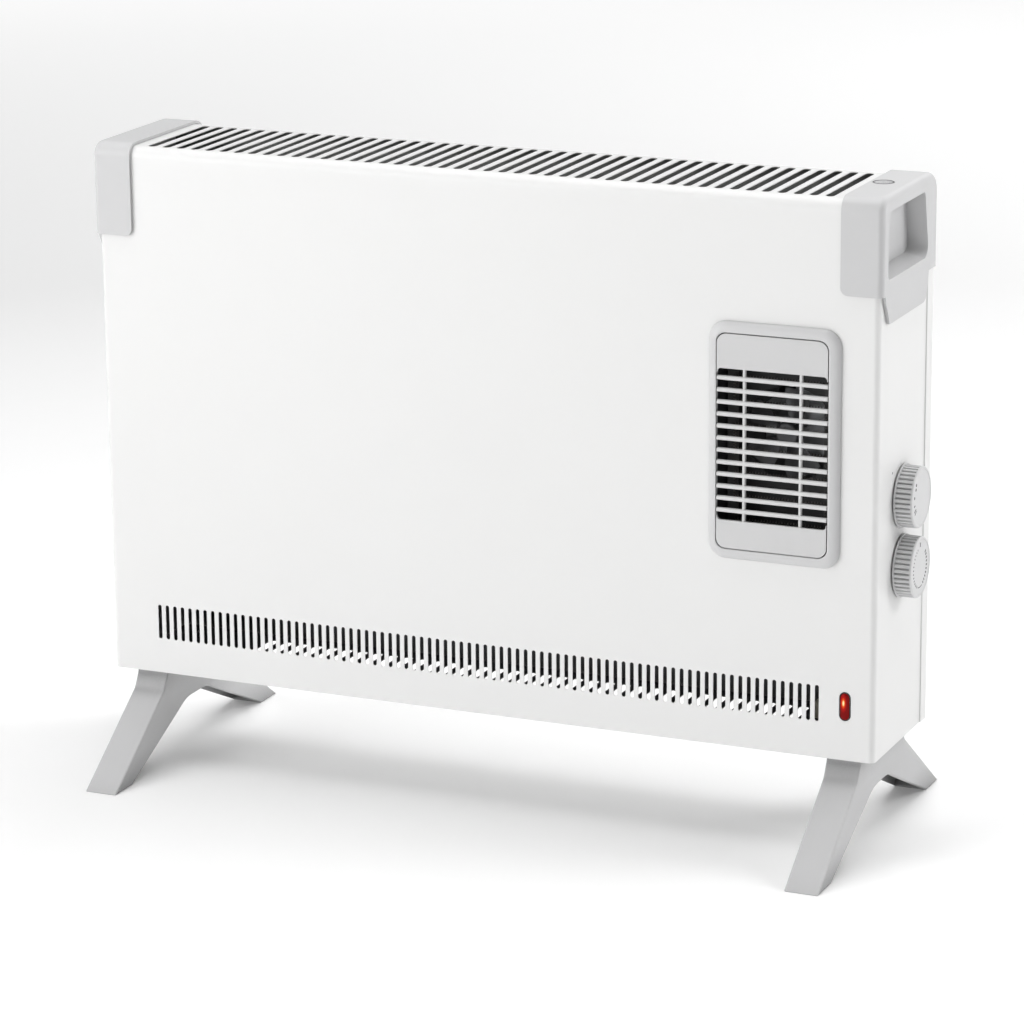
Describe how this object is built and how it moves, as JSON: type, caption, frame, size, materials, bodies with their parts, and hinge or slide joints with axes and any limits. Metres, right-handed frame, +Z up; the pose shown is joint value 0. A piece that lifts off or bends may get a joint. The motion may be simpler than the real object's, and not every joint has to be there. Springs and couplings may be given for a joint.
{
  "type": "fan convector heater",
  "caption": "Free-standing convector heater: slotted sheet-metal casing on two splayed feet, with end caps, a barred fan outlet, a neon and side control knobs.",
  "frame": {"origin": "on the floor, under the middle of the whole object, knobs and feet included", "axes": "+Z up, +X to the right of someone facing the front, -Y towards that person"},
  "size_m": [0.6838, 0.292, 0.5243],
  "materials": {
    "casing_paint": "powder coated, fine texture, satin",
    "cap_moulding": "fine moulded texture",
    "foot_moulding": "fine moulded texture",
    "bezel_moulding": "satin moulded",
    "grille_moulding": "satin moulded",
    "knob_moulding": "satin moulded, printed marks",
    "badge_moulding": "polished",
    "neon_red": "translucent, ribbed inside",
    "black_plastic": "moulded",
    "cream_plastic": "moulded",
    "mica_board": "layered mica",
    "zinc_steel": "zinc plated",
    "screw_steel": "zinc plated",
    "element_aluminium": "extruded, dull",
    "impeller_aluminium": "pressed, dull",
    "coil_wire": "resistance wire, oxidised"
  },
  "bodies": {
    "casing": {"front_casing": "casing_paint", "back_panel": "casing_paint", "base_plate": "casing_paint", "heat_shield": "zinc_steel", "end_cap_left": "cap_moulding", "end_cap_right": "cap_moulding", "cap_badge": "badge_moulding", "foot_left": "foot_moulding", "foot_right": "foot_moulding", "fan_bezel": "bezel_moulding", "fan_grille": "grille_moulding", "fan_duct": "black_plastic", "fan_motor": "zinc_steel", "motor_bracket": "zinc_steel", "coil_board": "mica_board", "fan_coil": "coil_wire", "element_upper": "element_aluminium", "element_lower": "element_aluminium", "element_bracket_left": "zinc_steel", "element_bracket_right": "zinc_steel", "thermal_cutout": "black_plastic", "terminal_block": "cream_plastic", "cable_bushing": "black_plastic", "neon_lens": "neon_red", "neon_lamp": "black_plastic", "selector_body": "black_plastic", "thermostat_body": "black_plastic", "foot_screw_1": "screw_steel", "foot_screw_2": "screw_steel", "foot_screw_3": "screw_steel", "foot_screw_4": "screw_steel", "back_screw_1": "screw_steel", "back_screw_2": "screw_steel", "back_screw_3": "screw_steel", "back_screw_4": "screw_steel", "back_screw_5": "screw_steel", "back_screw_6": "screw_steel", "cap_screw_1": "screw_steel", "cap_screw_2": "screw_steel", "cap_screw_3": "screw_steel", "cap_screw_4": "screw_steel"},
    "selector": {"selector_knob": "knob_moulding", "selector_spindle": "zinc_steel"},
    "thermostat": {"thermostat_knob": "knob_moulding", "thermostat_spindle": "zinc_steel"},
    "fan": {"fan_impeller": "impeller_aluminium", "motor_shaft": "zinc_steel"}
  },
  "joints": [
    {"name": "selector_turn", "type": "hinge", "parent": "casing", "child": "selector", "pos_m": [0.32585, -0.004, 0.2814], "axis": [1, 0, 0], "range_deg": [-180, 0]},
    {"name": "thermostat_turn", "type": "hinge", "parent": "casing", "child": "thermostat", "pos_m": [0.32585, -0.004, 0.2254], "axis": [1, 0, 0], "range_deg": [-300, 0]},
    {"name": "fan_spin", "type": "hinge", "parent": "casing", "child": "fan", "pos_m": [0.24185, -0.0255, 0.3279], "axis": [0, 1, 0], "continuous": true}
  ]
}
